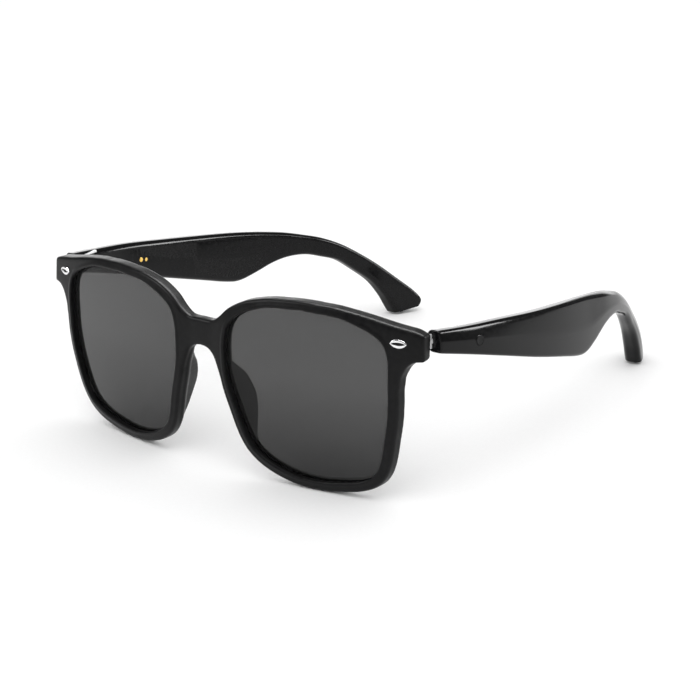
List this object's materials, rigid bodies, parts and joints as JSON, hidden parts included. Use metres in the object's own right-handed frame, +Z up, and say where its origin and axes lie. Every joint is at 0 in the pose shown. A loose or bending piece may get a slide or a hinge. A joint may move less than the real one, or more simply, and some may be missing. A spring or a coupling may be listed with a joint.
{
  "type": "smart audio sunglasses",
  "caption": "Full-rim sunglasses with folding temples that house a battery, circuit board, speaker, button and charging contacts.",
  "frame": {"origin": "centre of the bounding box on the surface that the rims and ear tips stand on", "axes": "+X to the wearer's left, +Y from the lenses back to the ear tips, +Z up"},
  "size_m": [0.1506, 0.1516, 0.0541],
  "materials": {
    "frame_black": "satin injection-moulded black",
    "temple_gloss": "polished black",
    "cover_black": "satin black",
    "lens_grey": "polished grey tint",
    "rivet_silver": "polished",
    "hinge_steel": "satin nickel",
    "screw_steel": "satin",
    "button_black": "satin black",
    "battery_foil": "foil pouch",
    "board_green": "solder mask",
    "flex_amber": "polyimide",
    "speaker_steel": "stamped",
    "grille_mesh": "matt black",
    "microphone_can": "plated",
    "contact_gold": "gold plated",
    "magnet_nickel": "nickel plated"
  },
  "bodies": {
    "front": {"front_frame": "frame_black", "lens_left": "lens_grey", "lens_right": "lens_grey", "rivet_left": "rivet_silver", "rivet_right": "rivet_silver", "front_hinge_left": "hinge_steel", "front_hinge_right": "hinge_steel", "hinge_screw_left": "screw_steel", "hinge_screw_right": "screw_steel"},
    "temple_left": {"temple_shell_left": "temple_gloss", "temple_cover_left": "cover_black", "temple_hinge_left": "hinge_steel", "battery_left": "battery_foil", "board_left": "board_green", "flex_left": "flex_amber", "speaker_left": "speaker_steel", "grille_left": "grille_mesh", "microphone_left": "microphone_can", "contact_front_left": "contact_gold", "contact_rear_left": "contact_gold", "magnet_front_left": "magnet_nickel", "magnet_rear_left": "magnet_nickel"},
    "temple_right": {"temple_shell_right": "temple_gloss", "temple_cover_right": "cover_black", "temple_hinge_right": "hinge_steel", "battery_right": "battery_foil", "board_right": "board_green", "flex_right": "flex_amber", "speaker_right": "speaker_steel", "grille_right": "grille_mesh", "microphone_right": "microphone_can", "contact_front_right": "contact_gold", "contact_rear_right": "contact_gold", "magnet_front_right": "magnet_nickel", "magnet_rear_right": "magnet_nickel"},
    "button_left": {"button_left": "button_black"},
    "button_right": {"button_right": "button_black"}
  },
  "joints": [
    {"name": "left_fold", "type": "hinge", "parent": "front", "child": "temple_left", "pos_m": [0.0686, -0.05943, 0.0459], "axis": [0, 0, 1], "range_deg": [0, 80]},
    {"name": "right_fold", "type": "hinge", "parent": "front", "child": "temple_right", "pos_m": [-0.0686, -0.05943, 0.0459], "axis": [0, 0, -1], "range_deg": [0, 73]},
    {"name": "left_button_press", "type": "slide", "parent": "temple_left", "child": "button_left", "axis": [-0.9955, 0.0948, 0], "range_m": [0, 0.0003], "stiffness_N_per_m": 500, "springref_m": -0.0006},
    {"name": "right_button_press", "type": "slide", "parent": "temple_right", "child": "button_right", "axis": [0.9955, 0.0948, 0], "range_m": [0, 0.0003], "stiffness_N_per_m": 500, "springref_m": -0.0006}
  ]
}
